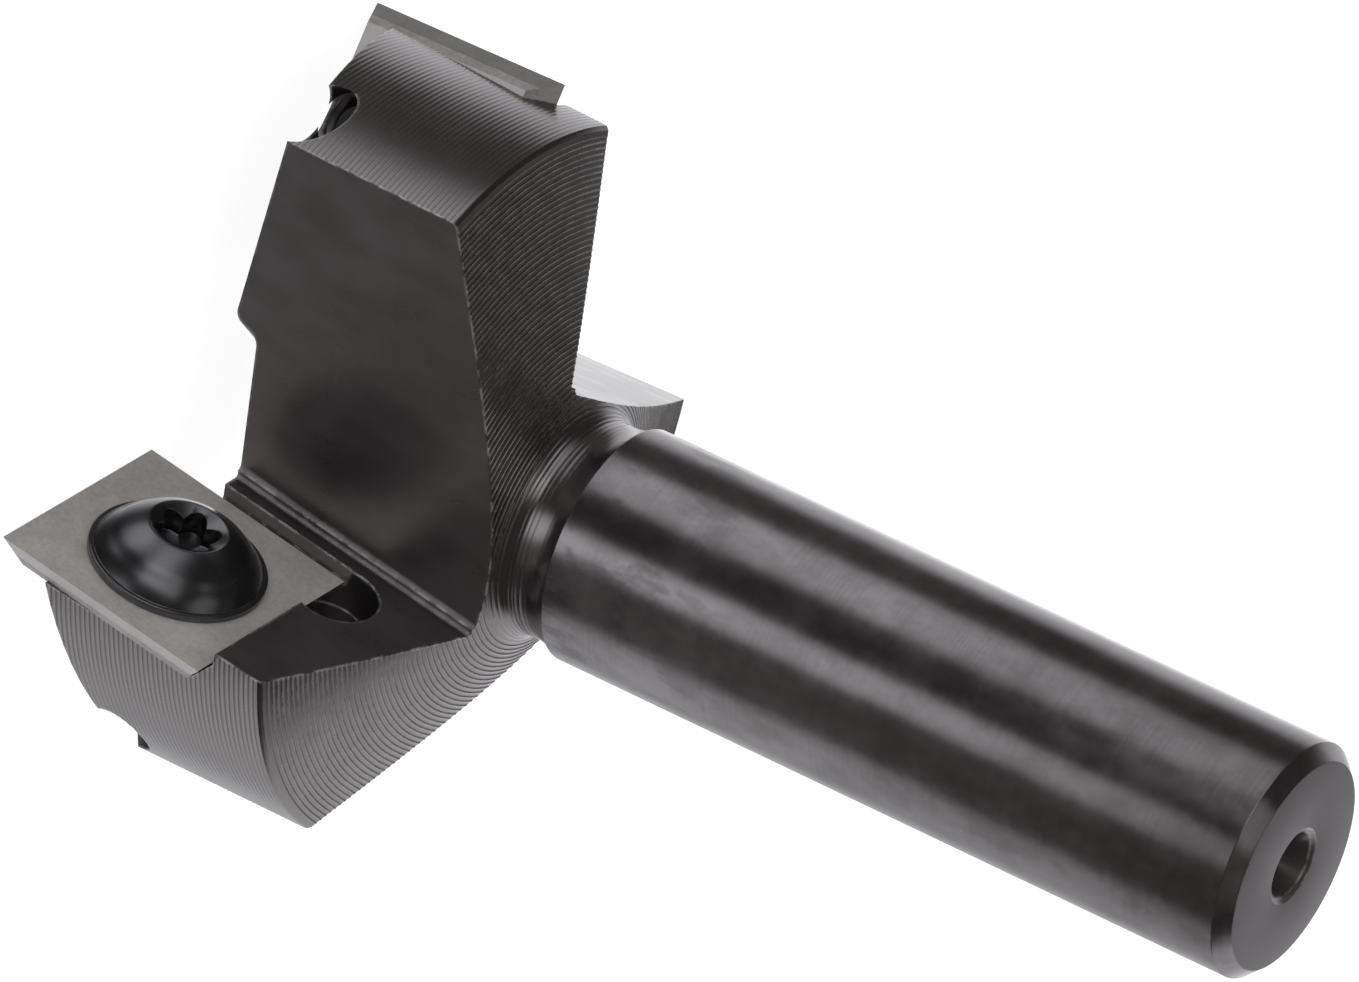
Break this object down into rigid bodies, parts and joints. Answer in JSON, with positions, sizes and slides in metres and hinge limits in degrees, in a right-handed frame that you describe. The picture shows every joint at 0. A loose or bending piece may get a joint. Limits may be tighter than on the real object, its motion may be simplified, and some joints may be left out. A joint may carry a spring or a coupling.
{
  "type": "surfacing router bit",
  "caption": "Spoilboard surfacing cutter: round shank, winged steel body, square indexable carbide inserts held by flanged button-head screws.",
  "frame": {"origin": "on the tool's axis, in the cutting plane that the inserts' cutting corners sweep", "axes": "+Z along the axis toward the shank's free end, +X through the first wing"},
  "size_m": [0.0374, 0.0341, 0.0605],
  "materials": {
    "blackened_steel": "black oxide over turned and milled steel, satin",
    "ground_carbide": "finely ground tungsten carbide",
    "black_screw_steel": "glossy black oxide"
  },
  "bodies": {
    "root": {"cutter_body": "blackened_steel", "carbide_insert_1": "ground_carbide", "insert_screw_1": "black_screw_steel", "carbide_insert_2": "ground_carbide", "insert_screw_2": "black_screw_steel", "carbide_insert_3": "ground_carbide", "insert_screw_3": "black_screw_steel"}
  },
  "joints": []
}
